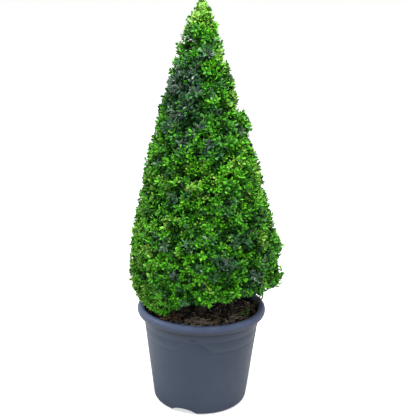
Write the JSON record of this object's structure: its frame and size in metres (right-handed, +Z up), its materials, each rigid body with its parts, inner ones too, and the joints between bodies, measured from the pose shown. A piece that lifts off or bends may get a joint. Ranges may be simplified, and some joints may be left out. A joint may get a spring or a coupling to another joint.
{
  "type": "clipped boxwood cone in a nursery pot",
  "caption": "Evergreen box shrub clipped to a tall dense cone, small leaves down to a short skirt, in a round tapered plastic pot with a rolled rim.",
  "frame": {"origin": "centre of the pot's flat underside, on the ground", "axes": "+Z up through the pot and the shrub, -Y towards the viewer's side, +X to the viewer's right"},
  "size_m": [0.4506, 0.4377, 1.1601],
  "materials": {
    "pot_plastic": "satin moulded",
    "compost": "damp crumbs",
    "bark": "rough grey-brown bark",
    "foliage": "waxy leaves"
  },
  "bodies": {
    "root": {"basal_stem_skirt_back_left": "bark", "basal_stem_skirt_back_right": "bark", "basal_stem_skirt_front_left": "bark", "basal_stem_skirt_front_right": "bark", "bough_middle_back_left": "bark", "bough_middle_back_right": "bark", "bough_middle_front": "bark", "bough_upper_back": "bark", "bough_upper_left": "bark", "bough_upper_right": "bark", "compost": "compost", "foliage_middle_back_left": "foliage", "foliage_middle_back_right": "foliage", "foliage_middle_front": "foliage", "foliage_skirt_back_left": "foliage", "foliage_skirt_back_right": "foliage", "foliage_skirt_front_left": "foliage", "foliage_skirt_front_right": "foliage", "foliage_spire": "foliage", "foliage_upper_back": "foliage", "foliage_upper_left": "foliage", "foliage_upper_right": "foliage", "low_shoot": "foliage", "pot": "pot_plastic", "rim_shoot_inner": "bark", "rim_shoot_outer": "bark", "trunk": "bark"}
  },
  "joints": []
}
